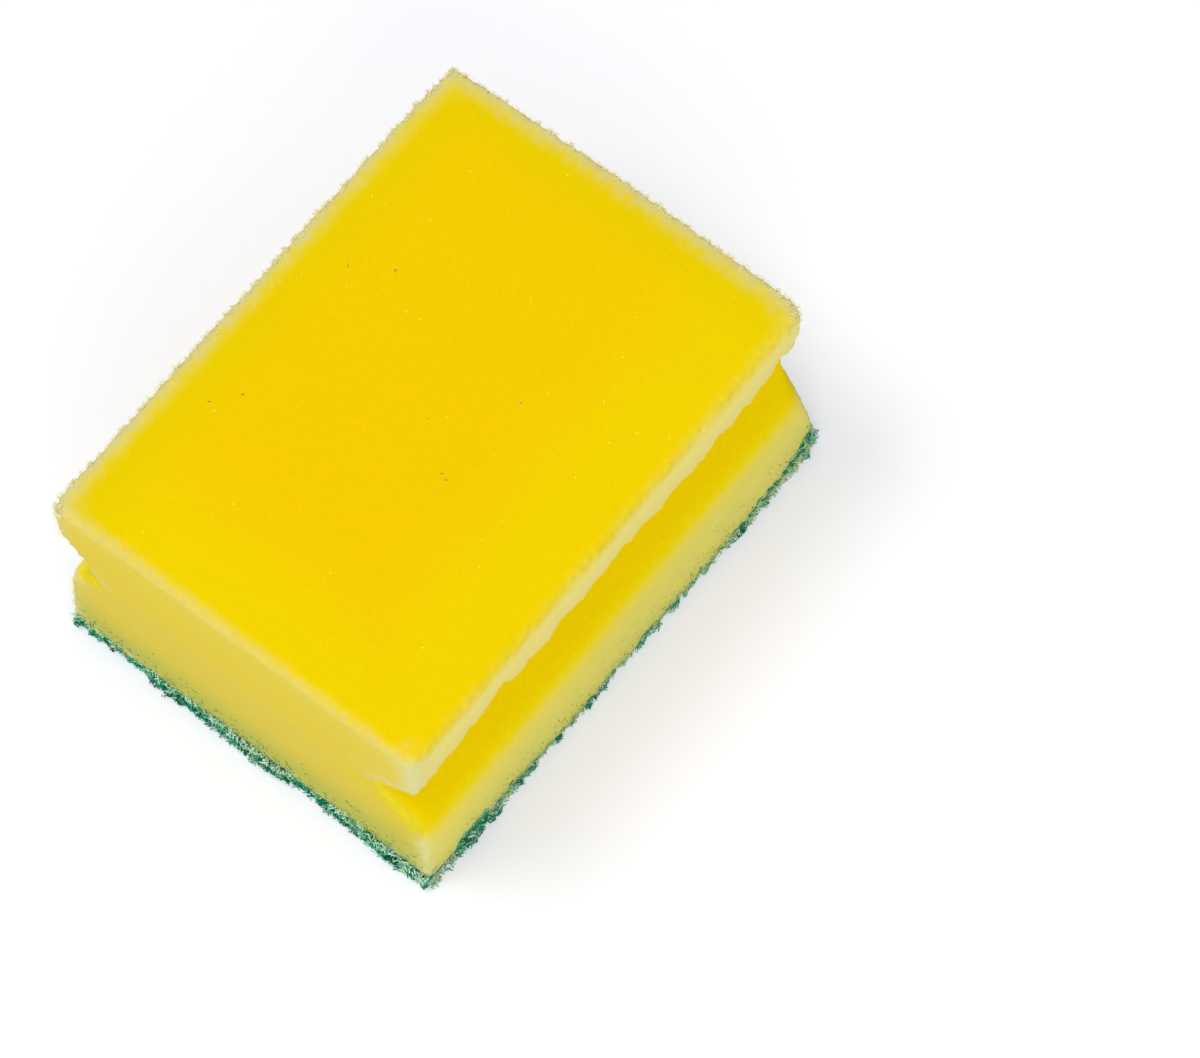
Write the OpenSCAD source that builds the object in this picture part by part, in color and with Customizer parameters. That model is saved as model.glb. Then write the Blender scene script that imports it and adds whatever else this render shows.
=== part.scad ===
// Cleaning sponge with a finger groove along each long side.
// A block of soft yellow foam is bonded face to face on a green scouring pad.
// Length runs along X, the grooves face -Y and +Y, and the pad lies on the ground at z = 0.

/* [Sponge] */
// Length, along the finger grooves
sponge_l = 95; // [80:0.5:130]
// Width, across the finger grooves
sponge_w = 70.5; // [60:0.5:100]
// Whole height, pad included
sponge_h = 42.5; // [38:0.5:60]
// Radius of the foam's top edges at both ends
end_edge_r = 0.9; // [0.4:0.1:3]
// Radius of the three crisp upright corners
corner_r = 0.8; // [0.4:0.1:3]
// Radius of the lip's worn corner, between the +X end and the -Y side
worn_lip_r = 4.2; // [1:0.1:5]
// Radius of the flange's worn corner below it
worn_flange_r = 2.5; // [1:0.1:5]
// How far the wire cut of the -Y side runs in by the time it reaches the +X end
cut_drift = 1.3; // [0:0.1:3]

/* [Finger grooves] */
// Height of the lip above a groove, measured on the side face
lip_h = 9.3; // [6:0.1:13]
// Height of the flange below a groove, from the ground to its upper corner
flange_h = 18; // [12:0.5:22]
// Height of a groove's root above the ground
root_h = 25.4; // [22.5:0.1:27]
// Depth of a groove, from the side face to its root
groove_depth = 8.8; // [5:0.1:14]
// Radius of the lip's top edge
lip_top_r = 1; // [0.4:0.1:2.5]
// Radius of the lip's lower edge
lip_low_r = 1.8; // [0.4:0.1:2.2]
// Radius in the groove's root
root_r = 1.3; // [0.6:0.1:2.5]
// Radius of the flange's upper edge
flange_r = 4; // [1:0.1:6]

/* [Torn lip edges] */
// Radius of the scoops that foam has torn out of the lips' lower edges
bite_r = 6; // [4:0.5:10]
// Depth of the largest scoop, square to the edge that it is torn from
bite_depth = 2.2; // [0.5:0.1:3]

/* [Scouring pad] */
// Thickness of the pad
pad_t = 4.5; // [2:0.1:8]
// Depth of the ragged nicks in the pad's cut edge
ragged_depth = 1.1; // [0.2:0.1:2]
// Spacing of the ragged nicks along the pad's cut edge
ragged_pitch = 2.6; // [2:0.1:6]
// How far the pad stands out past the foam's footprint all round
pad_overhang = 0.4; // [0:0.1:2]

/* [Hidden] */

// Chords in each rounded corner of an outline
arc_steps = 6;
// Overshoot of a cutting shape past the surface that it cuts
past = 1;
// Scoops torn out of each lip: [distance from the -X end, share of the largest depth]
minus_y_bites = [[20.5, 1], [36, 0.3], [51.5, 0.4], [62, 0.25], [72, 0.5], [82, 0.6]];
plus_y_bites = [[12, 0.4], [30, 0.8], [48, 0.3], [68, 0.6], [84, 0.4]];
// Seed of the pad's ragged edge
ragged_seed = 41;

half_l = sponge_l / 2;
half_w = sponge_w / 2;
lip_z = sponge_h - lip_h;
drift_angle = asin(cut_drift / sponge_l);

function unit(v) = v / norm(v);

// Direction into the foam at a lip's lower edge, as [across, up]
lip_wedge = unit([0, 1] + unit([groove_depth, root_h - lip_z]));

// Points of one outline corner b, between neighbours a and c, rounded to radius r
function round_corner(a, b, c, r) =
    let(
        to_a = unit(a - b),
        to_c = unit(c - b),
        half_angle = acos(to_a * to_c) / 2,
        centre = b + unit(to_a + to_c) * r / sin(half_angle),
        from_dir = b + to_a * r / tan(half_angle) - centre,
        to_dir = b + to_c * r / tan(half_angle) - centre,
        start = atan2(from_dir.y, from_dir.x),
        turn = (atan2(to_dir.y, to_dir.x) - start + 540) % 360 - 180
    )
    [for (i = [0 : arc_steps]) let(t = start + turn * i / arc_steps) centre + r * [cos(t), sin(t)]];

// Closed outline from corners given as [x, y, radius]; a radius of 0 stays sharp
function rounded(corners) =
    let(n = len(corners), p = [for (c = corners) [c.x, c.y]])
    [for (i = [0 : n - 1])
        each corners[i].z > 0
            ? round_corner(p[(i + n - 1) % n], p[i], p[(i + 1) % n], corners[i].z)
            : [p[i]]];

// Footprint of the foam, seen from above, with the radius of its worn corner
module foam_plan(worn_r) {
    polygon(rounded([
        [-half_l, -half_w, corner_r],
        [half_l, -half_w, worn_r],
        [half_l, half_w, corner_r],
        [-half_l, half_w, corner_r]
    ]));
}

// Side view of the foam block, with its top edges rounded at both ends
module foam_elevation() {
    polygon(rounded([
        [-half_l, pad_t, 0],
        [half_l, pad_t, 0],
        [half_l, sponge_h, end_edge_r],
        [-half_l, sponge_h, end_edge_r]
    ]));
}

// Section of what the cutting wire takes off a side. The side face is at x = 0, the
// foam lies at positive x, and y is the height above the ground.
module side_waste() {
    polygon(rounded([
        [-past - lip_low_r, sponge_h + past, 0],
        [lip_top_r, sponge_h + past, 0],
        [lip_top_r, sponge_h, 0],
        [0, sponge_h, lip_top_r],
        [0, lip_z, lip_low_r],
        [groove_depth, root_h, root_r],
        [0, flange_h, flange_r],
        [0, pad_t - past, 0],
        [-past - lip_low_r, pad_t - past, 0]
    ]));
}

// One side's wire cut over the whole length, with the side face on the XZ plane,
// starting at the -X end and cutting into +Y
module side_cut() {
    translate([-past, 0, 0])
        rotate([90, 0, 90])
            linear_extrude(sponge_l + 3 * past)
                side_waste();
}

// Scoops torn out of the lower edge of a lip whose side face is on the XZ plane. Each is
// a ball that stands outside the foam, square to the edge, and only dips into it.
module torn_bites(bites) {
    for (bite = bites) {
        stand_off = bite_r - bite[1] * bite_depth;
        translate([bite[0], 0, lip_z])
            translate([0, -stand_off * lip_wedge.x, -stand_off * lip_wedge.y])
                sphere(r = bite_r, $fn = 48);
    }
}

// Foam block: sawn to length, then wire cut along both sides
module foam_body() {
    color([0.96, 0.83, 0.03])
    difference() {
        intersection() {
            union() {
                linear_extrude(root_h)
                    foam_plan(worn_flange_r);
                translate([0, 0, root_h])
                    linear_extrude(sponge_h)
                        foam_plan(worn_lip_r);
            }
            rotate([90, 0, 0])
                translate([0, 0, -sponge_w])
                    linear_extrude(2 * sponge_w)
                        foam_elevation();
        }
        translate([-half_l, -half_w, 0])
            rotate([0, 0, drift_angle]) {
                side_cut();
                torn_bites(minus_y_bites);
            }
        translate([-half_l, half_w, 0])
            mirror([0, 1, 0]) {
                side_cut();
                torn_bites(plus_y_bites);
            }
    }
}

// Ragged cut edge from one corner up to the next: the corner itself, then points at an
// even pitch, each pushed inwards by its own random nick
function ragged_edge(from, to, seed) =
    let(
        run = norm(to - from),
        n = floor(run / ragged_pitch),
        along = unit(to - from),
        inward = [-along.y, along.x],
        nick = rands(0, 1, n, seed)
    )
    [for (i = [0 : n - 1])
        from + along * run * i / n + inward * (i == 0 ? 0 : ragged_depth * pow(nick[i], 2))];

// Scouring pad: one mat of fibre, cut roughly to the foam's footprint
module scouring_pad() {
    x = half_l + pad_overhang;
    y = half_w + pad_overhang;
    corners = [[-x, -y], [x, -y], [x, y], [-x, y]];
    color([0.04, 0.45, 0.30])
    linear_extrude(pad_t)
        polygon([for (i = [0 : 3])
            each ragged_edge(corners[i], corners[(i + 1) % 4], ragged_seed + i)]);
}

foam_body();
scouring_pad();
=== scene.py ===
import math
import random

import bmesh
import bpy
import numpy as np
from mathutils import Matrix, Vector, noise


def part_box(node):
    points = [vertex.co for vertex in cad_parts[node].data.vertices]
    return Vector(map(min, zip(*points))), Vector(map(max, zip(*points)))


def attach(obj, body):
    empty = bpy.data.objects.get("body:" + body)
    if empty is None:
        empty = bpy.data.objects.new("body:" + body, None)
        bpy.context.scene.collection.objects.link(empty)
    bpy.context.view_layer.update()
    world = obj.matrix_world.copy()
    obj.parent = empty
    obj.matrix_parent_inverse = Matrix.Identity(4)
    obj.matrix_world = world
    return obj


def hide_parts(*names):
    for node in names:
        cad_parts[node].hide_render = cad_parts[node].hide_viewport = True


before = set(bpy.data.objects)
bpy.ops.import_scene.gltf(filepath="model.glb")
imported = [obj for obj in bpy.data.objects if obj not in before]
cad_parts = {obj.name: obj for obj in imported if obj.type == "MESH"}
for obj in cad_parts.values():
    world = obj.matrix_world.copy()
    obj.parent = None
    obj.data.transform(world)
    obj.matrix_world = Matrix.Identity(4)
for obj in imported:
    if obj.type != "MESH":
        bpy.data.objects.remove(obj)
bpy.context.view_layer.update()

# Lengths are in mm from here on, and are turned into metres when a mesh is written
mm = 0.001
padLow, padHigh = (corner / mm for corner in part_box("scouring_pad"))
foamLow, foamHigh = (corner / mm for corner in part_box("foam_body"))


# Small helpers for the modelling

def deselectAll():
    if bpy.context.object and bpy.context.object.mode != "OBJECT":
        bpy.ops.object.mode_set(mode="OBJECT")
    bpy.ops.object.select_all(action="DESELECT")


def makeActive(piece):
    deselectAll()
    piece.select_set(True)
    bpy.context.view_layer.objects.active = piece


def applyPlace(piece):
    makeActive(piece)
    bpy.ops.object.transform_apply(location=True, rotation=True, scale=True)


def applyModifier(piece, kind, **settings):
    makeActive(piece)
    modifier = piece.modifiers.new(kind.title(), kind)
    for key, value in settings.items():
        setattr(modifier, key, value)
    bpy.ops.object.modifier_apply(modifier=modifier.name)


def pickEdges(piece, test):
    bpy.ops.mesh.select_mode(type="EDGE")
    bpy.ops.mesh.select_all(action="DESELECT")
    shape = bmesh.from_edit_mesh(piece.data)
    for edge in shape.edges:
        if test(edge.verts[0].co / mm, edge.verts[1].co / mm):
            edge.select_set(True)
    bmesh.update_edit_mesh(piece.data)


def pickVerts(piece, test):
    bpy.ops.mesh.select_mode(type="VERT")
    bpy.ops.mesh.select_all(action="DESELECT")
    shape = bmesh.from_edit_mesh(piece.data)
    for vert in shape.verts:
        if test(vert.co / mm):
            vert.select_set(True)
    shape.select_flush(True)
    bmesh.update_edit_mesh(piece.data)


def isNear(a, b, gap=0.05):
    return abs(a - b) < gap


def readPoints(piece):
    points = np.empty(len(piece.data.vertices) * 3)
    piece.data.vertices.foreach_get("co", points)
    return points.reshape(-1, 3) / mm


def writePoints(piece, points):
    piece.data.vertices.foreach_set("co", (points * mm).ravel())
    piece.data.update()


def readNormals(piece):
    normals = np.empty(len(piece.data.vertices) * 3)
    piece.data.vertex_normals.foreach_get("vector", normals)
    return normals.reshape(-1, 3)


def waves(points, size, seed):
    # soft noise from -1 to 1, one value a point
    shift = Vector((seed * 17.3, seed * 5.9, seed * 11.1))
    return np.array([noise.noise(Vector(p) / size + shift) for p in points]) * 1.6


def ramp(value, low, high):
    t = np.clip((value - low) / (high - low), 0, 1)
    return t * t * (3 - 2 * t)


def smoothed(piece, rounds):
    # the points averaged over their neighbours again and again
    ends = np.empty(len(piece.data.edges) * 2, dtype=np.int32)
    piece.data.edges.foreach_get("vertices", ends)
    a, b = ends[0::2], ends[1::2]
    smooth = readPoints(piece)
    count = len(smooth)
    links = np.bincount(ends, minlength=count)
    for step in range(rounds):
        total = np.empty_like(smooth)
        for axis in range(3):
            total[:, axis] = (np.bincount(a, smooth[b, axis], count)
                              + np.bincount(b, smooth[a, axis], count))
        smooth = total / links[:, None]
    return smooth


def bulge(piece, rounds):
    # how far each point stands out of the smoothed shape
    return ((readPoints(piece) - smoothed(piece, rounds)) * readNormals(piece)).sum(axis=1)


def storeValue(piece, name, values):
    layer = piece.data.attributes.new(name, "FLOAT", "POINT")
    layer.data.foreach_set("value", values.astype(np.float32))


# Helpers for the node trees

def linear(red, green, blue):
    # a colour as a picker shows it, 0 to 255, turned into what a socket takes
    parts = []
    for part in (red / 255, green / 255, blue / 255):
        parts.append(part / 12.92 if part <= 0.04045 else ((part + 0.055) / 1.055) ** 2.4)
    return (*parts, 1)


def addNode(tree, kind, sockets=None, **settings):
    node = tree.nodes.new(kind)
    for key, value in settings.items():
        setattr(node, key, value)
    for key, value in (sockets or {}).items():
        if isinstance(value, bpy.types.NodeSocket):
            tree.links.new(value, node.inputs[key])
        else:
            node.inputs[key].default_value = value
    return node


def addMath(tree, operation, a, b=0.0):
    return addNode(tree, "ShaderNodeMath", {0: a, 1: b}, operation=operation).outputs[0]


def addRange(tree, value, low, high, toLow=0.0, toHigh=1.0, smooth=True):
    node = addNode(tree, "ShaderNodeMapRange",
                   {"Value": value, "From Min": low, "From Max": high,
                    "To Min": toLow, "To Max": toHigh})
    node.interpolation_type = "SMOOTHSTEP" if smooth else "LINEAR"
    return node.outputs[0]


def addMix(tree, factor, a, b, blend="MIX"):
    node = addNode(tree, "ShaderNodeMix", {0: factor, 6: a, 7: b},
                   data_type="RGBA", blend_type=blend)
    return node.outputs[2]


def addNoise(tree, vector, scale, detail=2.0, **more):
    node = addNode(tree, "ShaderNodeTexNoise",
                   {"Vector": vector, "Scale": scale, "Detail": detail, **more})
    return node.outputs["Fac"]


def placeInMm(tree):
    place = addNode(tree, "ShaderNodeTexCoord")
    scaled = addNode(tree, "ShaderNodeMapping", {"Vector": place.outputs["Object"]})
    scaled.inputs["Scale"].default_value = (1 / mm, 1 / mm, 1 / mm)
    return scaled.outputs[0]


def startGroup(name, inputs, outputs):
    group = bpy.data.node_groups.new(name, "ShaderNodeTree")
    for socketName, kind, value in inputs:
        socket = group.interface.new_socket(socketName, in_out="INPUT", socket_type=kind)
        if value is not None:
            socket.default_value = value
    for socketName, kind in outputs:
        group.interface.new_socket(socketName, in_out="OUTPUT", socket_type=kind)
    return group, group.nodes.new("NodeGroupInput"), group.nodes.new("NodeGroupOutput")


def addGroup(tree, group, sockets):
    return addNode(tree, "ShaderNodeGroup", sockets, node_tree=group).outputs


def addBump(tree, shader, height, strength, depth):
    bump = addNode(tree, "ShaderNodeBump",
                   {"Height": height, "Strength": strength, "Distance": depth * mm})
    tree.links.new(bump.outputs[0], shader.inputs["Normal"])


def startMaterial(name):
    material = bpy.data.materials.new(name)
    material.use_nodes = True
    return material, material.node_tree, material.node_tree.nodes["Principled BSDF"]


def setFinish(tree, shader, colour, roughness, shine):
    tree.links.new(colour, shader.inputs["Base Color"])
    shader.inputs["Roughness"].default_value = roughness
    shader.inputs["Specular IOR Level"].default_value = shine


# Camera, lamps, world and floor

view = {
    "place": (-430.5, -444.4, 1284.9),
    "turn": (25.535, 2.265, -50.988),  # degrees about x, y and z
    "lens": 277.1,
}

light = {
    "worldStrength": 0.62,
    "keyPlace": (-440, 720, 1830),
    "keySize": 960,
    "keyPower": 15.4,
    "fillPlace": (-900, -1020, 900),
    "fillSize": 1120,
    "fillPower": 8.2,
    "aim": (0, 0, 20),
    "floorSize": 6000,
    "floorTone": (0.84, 0.84, 0.84),  # what the light bounces from
    "floorSeen": (1, 1, 1),  # what the camera sees
    # evens out the yellow light that the foam throws on the floor
    "floorGlow": (0.845, 0.858, 0.988),
    "glowStrength": 1.14,
    "floorLift": 0.36,  # share of the glow in what the camera sees
}


def addLamp(name, place, size, power):
    deselectAll()
    bpy.ops.object.light_add(type="AREA", location=Vector(place) * mm)
    lamp = bpy.context.object
    lamp.name = name
    lamp.data.shape = "DISK"
    lamp.data.size = size * mm
    lamp.data.energy = power
    aim = Vector(light["aim"]) - Vector(place)
    lamp.rotation_euler = aim.to_track_quat("-Z", "Y").to_euler()
    return lamp


def setUpStudio():
    deselectAll()
    bpy.ops.object.camera_add(location=Vector(view["place"]) * mm,
                              rotation=[math.radians(a) for a in view["turn"]])
    camera = bpy.context.object
    camera.data.lens = view["lens"]
    bpy.context.scene.camera = camera
    bpy.context.scene.view_settings.view_transform = "Standard"

    addLamp("keyLamp", light["keyPlace"], light["keySize"], light["keyPower"])
    addLamp("fillLamp", light["fillPlace"], light["fillSize"], light["fillPower"])

    world = bpy.data.worlds.new("paleRoom")
    bpy.context.scene.world = world
    world.use_nodes = True
    tree = world.node_tree
    tree.nodes.clear()
    room = addNode(tree, "ShaderNodeBackground", {"Strength": light["worldStrength"]})
    seen = addNode(tree, "ShaderNodeBackground", {"Strength": 1.0})
    for node in (room, seen):
        node.inputs["Color"].default_value = (1, 1, 1, 1)
    rays = addNode(tree, "ShaderNodeLightPath")
    plainView = addMath(tree, "MAXIMUM", rays.outputs["Is Camera Ray"],
                        rays.outputs["Is Glossy Ray"])
    mix = addNode(tree, "ShaderNodeMixShader",
                  {0: plainView, 1: room.outputs[0], 2: seen.outputs[0]})
    end = addNode(tree, "ShaderNodeOutputWorld")
    tree.links.new(mix.outputs[0], end.inputs["Surface"])

    deselectAll()
    bpy.ops.mesh.primitive_plane_add(size=light["floorSize"] * mm, location=(0, 0, 0))
    floor = bpy.context.object
    floor.name = "floor"
    material, tree, shader = startMaterial("paleFloor")
    rays = addNode(tree, "ShaderNodeLightPath")
    tone = addMix(tree, rays.outputs["Is Camera Ray"], (*light["floorTone"], 1),
                  (*light["floorSeen"], 1))
    setFinish(tree, shader, tone, 1, 0)
    white = addNode(tree, "ShaderNodeEmission",
                    {"Color": (*light["floorGlow"], 1), "Strength": light["glowStrength"]})
    lift = addMath(tree, "MULTIPLY", rays.outputs["Is Camera Ray"], light["floorLift"])
    mix = addNode(tree, "ShaderNodeMixShader",
                  {0: lift, 1: shader.outputs[0], 2: white.outputs[0]})
    tree.links.new(mix.outputs[0], tree.nodes["Material Output"].inputs["Surface"])
    floor.data.materials.append(material)


setUpStudio()
print("studio ready")


# Foam block: sawn to length, wire cut along both sides, then worn at its edges

foam = {
    "lipEdge": 33.2,  # height of the lip's lower edge
    "root": 25.4,  # height of the groove's root
    "flangeEdge": 18.0,
    "grooveDepth": 8.8,
    "drift": 1.3,  # how far the front side runs in along its length
    "topRound": 0.7,
    "lipRound": 0.8,
    "rootRound": 1.5,
    "flangeRound": 1.9,
    "cornerRound": 0.8,
    "frontLipRound": 1.5,  # radius of the front lip's corner at the -X end
    # radii of the worn corner between the front and the +X end
    "wornLipRound": 2.3,
    "wornLipLow": 4.6,  # at the lip's lower edge
    "wornLipHeights": (34, 39.5),  # where one turns into the other
    "wornFlangeRound": 0.75,
    "wornFlangeTop": 9.0,  # at the top of the flange
    "wornFlangeHeights": (6.5, 20.5),
    "voxel": 0.58,
    "endBow": 0.65,  # how far the sawn end at +X bows out in its middle
    "bowRun": (42, 47),
    "bowHeights": (20, 34),
    # foam torn out of the lips' lower edges: where along x, half width, height
    "frontTears": [(-47.8, 1.6, -0.9), (-46.5, 3.4, -1.0), (-38.5, 3.0, -0.5), (-27, 2.6, 3.0),
                   (-12, 3, 0.7), (2, 7, 1.0), (15, 2.2, 1.1), (25.6, 2.2, 1.9), (32, 2, 1.6),
                   (36.0, 2.2, 1.6), (41.6, 3.0, 3.1), (47.4, 2.2, 2.4)],
    "backTears": [(-35, 3, 1.2), (-17, 3.5, 2.2), (1, 2.5, 0.8), (21, 3, 1.8), (37, 3, 1.2)],
    "lipRipples": [(2.1, 0.7), (0.9, 0.36)],  # size and height of the ripples between the tears
    "tearHeight": 5.5,  # how far up the lip's face a tear is felt
    "tearDepth": 9,  # how far in from the lip's face a tear is felt
    # the root of the back groove, crumbled at the -X end
    "wornRootSize": 3,
    "wornRootRun": (1.5, 6),
    "wornRootDrop": 2.7,
    "wornRootOut": 1.3,
    # the front side's foot flares out and laps down over the pad: places along x and the
    # height that the foam reaches down to there
    "footPlaces": (-47.5, -45, -41.5, -39.8, -37, -34.6, -32.6, -25, -20, -8, 7, 18, 27, 35, 41,
                   45, 47.5),
    "footHeights": (1.2, 0.6, 0.7, 2.3, 3.0, 2.9, 1.7, 1.3, 1.1, 0.7, 0.7, 1.1, 1.3, 1.9, 2.7,
                    3.0, 3.2),
    # the same for the left end, places along y
    "leftPlaces": (-35.5, -31, -26, -19, 0, 7, 35),
    "leftHeights": (1.3, 1.9, 2.5, 2.9, 2.9, 3.0, 3.4),
    "otherFoot": 2.9,  # the height that it reaches down to on the other two sides
    "footFlare": 0.3,  # how far the foot stands out past the plain corner of the block
    "footRuffles": [(1.7, 0.45), (4.5, 0.35)],  # size and height of the foot's unevenness
    "footRun": (0.2, 5.5),  # heights over the block's lower face between which the lap dies out
    "footDepth": (0.5, 2.4),  # distances in from a side between which it dies out
    "hazeHeight": 1.9,  # how far up the foot the fibre's green haze reaches
    "otherHaze": 0.45,  # share of that haze on the sides other than the front
    # rubbed edges and the surface of open cells
    "rubRounds": 12,
    "edgeRounds": 10,
    "edgeBulge": 0.45,  # a point that stands out this far is on a sharp edge
    "sag": 0.14,
    "sagSize": 13,
    "cellRoughness": 0.035,
    "cellSize": 0.8,
    "edgeRoughness": 6,  # how much rougher a sharp edge is
    "nibble": 0.2,
    "nibbleSize": 1.5,
}

# Where the finish changes, told by places on the unworn block
zones = {
    # the top's border on each side: how far in its fade starts, and how far out it ends
    "frontFade": (2.3, -3.2),
    "leftFade": (2.5, -0.8),
    "backFade": (4.2, -0.4),
    "rightFade": (4.0, -0.4),
    # how far in the front border wanders: places along x, amounts
    "frontPlaces": (-35, -10, 20, 36, 44),
    "frontShift": (-0.35, 0, 0.3, 0.9, 1.2),
    "leftSlant": 70,  # the left border moves by 1 mm over this length
    "cornerFade": 7.6,
    "nearCornerFade": 6.2,  # the same at the front left corner
    "cornerFadeRun": 9,
    # painted sheen along the back and right top edges: its strength, and the depths over which it
    # dies out
    "farSheenFade": 1.05,
    "farFadeDepth": (0.3, 3),
    # the back flange stays pale up to a greater height, more so away from the ends
    "backShift": 3.2,
    "innerShift": 2,
    "innerRun": (1.5, 3.5),
    "shiftHeights": (22, 26),
    "arris": 0.6,  # half the width in which an end's finish turns into a side's
    # pale upright corners, partly worn foam and partly painted highlight: heights at which the
    # paleness changes, its share at each
    "frontPale": (13, 18, 24.5, 27.5),
    "backPale": (19, 20.5, 25, 27.5),
    "paleShares": (1, 0, 0, 1),
    "topPale": 0.4,  # share of it left at the very top
    "rightPale": 0.5,  # share of it at the right end
    "paleHeights": (14, 28),
    "paleRuns": (1.8, 2.3),
    "lipPale": 0.28,
    "lipPaleRun": 9,
    "lipPaleHeights": (27, 31),
    # duller yellow round the mouths of the grooves, partly painted shade where the lip shades them
    "frontGold": (13, 18.5, 23, 26),
    "backGold": (19.5, 20.5, 25, 27),
    "goldShares": (0, 1, 1, 0),
    "goldRun": 7,
    # upright corners rubbed soft: heights, shares
    "softHeights": (5, 13, 18, 22, 31, 34),
    "softShares": (0.1, 1, 1, 0.6, 0.2, 1),
    "softRun": 2.4,
    "softRight": 0.4,
    "softBackLip": 0.45,
    "backLipHeight": 31,
    # top edges rubbed soft: how far from the edge, and how much
    "frontRub": (1.7, 0.7),
    "leftRub": (1.5, 0.5),
    "rubDepth": 3,
}


def frontFace(x):
    # y of the front side's plane at x
    return foamLow.y + foam["drift"] * (x - foamLow.x) / (foamHigh.x - foamLow.x)


def cutFoam():
    size = foamHigh - foamLow
    deselectAll()
    bpy.ops.mesh.primitive_cube_add(size=1, location=(foamLow + foamHigh) / 2 * mm, scale=size * mm)
    block = bpy.context.object
    block.name = "foamBlock"
    applyPlace(block)
    bpy.ops.object.mode_set(mode="EDIT")
    for height in (foam["lipEdge"], foam["root"], foam["flangeEdge"]):
        bpy.ops.mesh.select_all(action="SELECT")
        bpy.ops.mesh.bisect(plane_co=(0, 0, height * mm), plane_no=(0, 0, 1))
    pickVerts(block, lambda v: isNear(v.z, foam["root"]))
    inward = 1 - foam["grooveDepth"] / foamHigh.y
    bpy.ops.transform.resize(value=(1, inward, 1), center_override=(0, 0, foam["root"] * mm))
    pickVerts(block, lambda v: v.x > 0 and v.y < 0)
    bpy.ops.transform.translate(value=(0, foam["drift"] * mm, 0))

    def alongSide(a, b, height):
        return isNear(a.z, height) and isNear(b.z, height) and abs(a.x - b.x) > size.x / 2

    def acrossEnd(a, b):
        return isNear(a.z, foamHigh.z) and isNear(b.z, foamHigh.z) and abs(a.y - b.y) > size.y / 4

    rounds = [
        (lambda a, b: alongSide(a, b, foam["root"]), foam["rootRound"], 3),
        (lambda a, b: alongSide(a, b, foam["lipEdge"]), foam["lipRound"], 3),
        (lambda a, b: alongSide(a, b, foam["flangeEdge"]), foam["flangeRound"], 4),
        (lambda a, b: alongSide(a, b, foamHigh.z) or acrossEnd(a, b), foam["topRound"], 3),
    ]
    for test, amount, segments in rounds:
        pickEdges(block, test)
        bpy.ops.mesh.bevel(offset=amount * mm, segments=segments, profile=0.5)
    bpy.ops.object.mode_set(mode="OBJECT")
    return block


def roundUpright(points, signX, face, radius):
    # pulls the points outside an upright corner's circle back onto it, and returns how far
    # each of them moves off the side
    u = foamHigh.x - signX * points[:, 0]
    v = face
    away = np.hypot(radius - u, radius - v)
    hit = (u < radius) & (v < radius) & (away > radius)
    pull = np.where(hit, radius / np.maximum(away, 1e-6), 1)
    newU = np.where(hit, radius - (radius - u) * pull, u)
    newV = np.where(hit, radius - (radius - v) * pull, v)
    points[:, 0] = signX * (foamHigh.x - newU)
    return newV - v


def tearAt(x, tears):
    rise = np.zeros_like(x)
    for middle, half, height in tears:
        rise += height * np.exp(-((x - middle) / half) ** 2)
    return rise


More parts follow.
